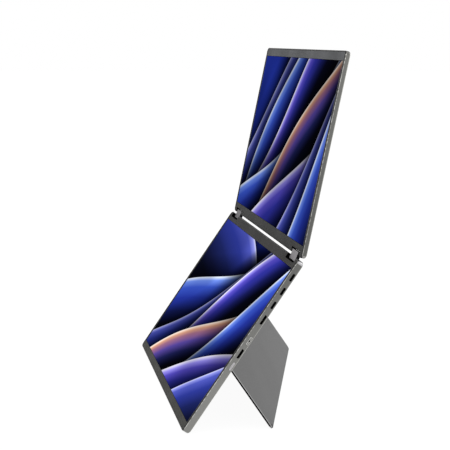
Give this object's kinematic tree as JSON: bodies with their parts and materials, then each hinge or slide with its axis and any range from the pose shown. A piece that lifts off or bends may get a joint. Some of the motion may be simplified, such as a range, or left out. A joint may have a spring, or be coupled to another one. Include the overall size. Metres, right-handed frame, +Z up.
{
  "type": "portable monitor",
  "caption": "Folding portable monitor: two flat screens joined edge to edge by double-axis hinge links, with edge sockets and buttons and a rear plate stand on a slanted hinge.",
  "frame": {"origin": "on the table, at the middle of the flat of the rubber foot strip under the lower half", "axes": "+X to the viewer's right along the hinge, +Y to the back, +Z up"},
  "size_m": [0.3146, 0.1849, 0.3835],
  "materials": {
    "shell_aluminium": "bead-blasted, anodised grey",
    "stand_aluminium": "bead-blasted, anodised grey",
    "bezel_plastic": "fine matte",
    "cover_glass": "clear, glossy",
    "display_stack": "dark panel stack",
    "foot_rubber": "matte",
    "circuit_board": "solder mask",
    "shield_steel": "thin pressed sheet",
    "ribbon_film": "polyimide film",
    "socket_steel": "dark plated",
    "switch_plastic": "moulded",
    "button_aluminium": "bead-blasted, anodised light grey",
    "indicator_plastic": "smoked lens",
    "link_metal": "satin grey",
    "hinge_steel": "black",
    "pin_steel": "turned",
    "screw_steel": "black zinc"
  },
  "bodies": {
    "base": {"board_screws": "screw_steel", "board_shield": "shield_steel", "bottom_foot_strip": "foot_rubber", "button_switches": "switch_plastic", "kickstand_bracket_left": "hinge_steel", "kickstand_bracket_right": "hinge_steel", "kickstand_hinge_screws": "screw_steel", "lower_back_shell": "shell_aluminium", "lower_cover_glass": "cover_glass", "lower_display_panel": "display_stack", "lower_display_ribbon": "ribbon_film", "lower_front_frame": "bezel_plastic", "lower_hinge_bracket_left": "hinge_steel", "lower_hinge_bracket_right": "hinge_steel", "lower_hinge_screws": "screw_steel", "main_board": "circuit_board", "mini_hdmi_socket_lower": "socket_steel", "mini_hdmi_socket_upper": "socket_steel", "usb_c_socket_lower": "socket_steel", "usb_c_socket_middle": "socket_steel", "usb_c_socket_upper": "socket_steel"},
    "hinge_links": {"hinge_link_left": "link_metal", "hinge_link_right": "link_metal", "lower_hinge_pin_left": "pin_steel", "lower_hinge_pin_right": "pin_steel", "upper_hinge_pin_left": "pin_steel", "upper_hinge_pin_right": "pin_steel"},
    "upper_screen": {"upper_back_shell": "shell_aluminium", "upper_board_screws": "screw_steel", "upper_cover_glass": "cover_glass", "upper_display_panel": "display_stack", "upper_display_ribbon": "ribbon_film", "upper_driver_board": "circuit_board", "upper_front_frame": "bezel_plastic", "upper_hinge_bracket_left": "hinge_steel", "upper_hinge_bracket_right": "hinge_steel", "upper_hinge_screws": "screw_steel"},
    "kickstand": {"kickstand_plate": "stand_aluminium", "kickstand_pin_left": "pin_steel", "kickstand_pin_right": "pin_steel"},
    "power_button": {"power_button": "button_aluminium", "power_indicator_lens": "indicator_plastic"},
    "menu_button": {"menu_button": "button_aluminium"}
  },
  "joints": [
    {"name": "lower_hinge_turn", "type": "hinge", "parent": "base", "child": "hinge_links", "pos_m": [0, 0.11749, 0.17165], "axis": [1, 0, 0], "range_deg": [-64, 78.45]},
    {"name": "upper_hinge_turn", "type": "hinge", "parent": "hinge_links", "child": "upper_screen", "pos_m": [0, 0.12049, 0.17863], "axis": [1, 0, 0], "range_deg": [-64, 78.45]},
    {"name": "kickstand_turn", "type": "hinge", "parent": "base", "child": "kickstand", "pos_m": [0, 0.06935, 0.09855], "axis": [0.9605, -0.1588, -0.2284], "range_deg": [-71.8, 18.2]},
    {"name": "power_button_press", "type": "slide", "parent": "base", "child": "power_button", "axis": [-1, 0, 0], "range_m": [0, 0.0004], "stiffness_N_per_m": 400, "springref_m": -0.0005},
    {"name": "menu_button_press", "type": "slide", "parent": "base", "child": "menu_button", "axis": [-1, 0, 0], "range_m": [0, 0.0004], "stiffness_N_per_m": 400, "springref_m": -0.0005}
  ]
}
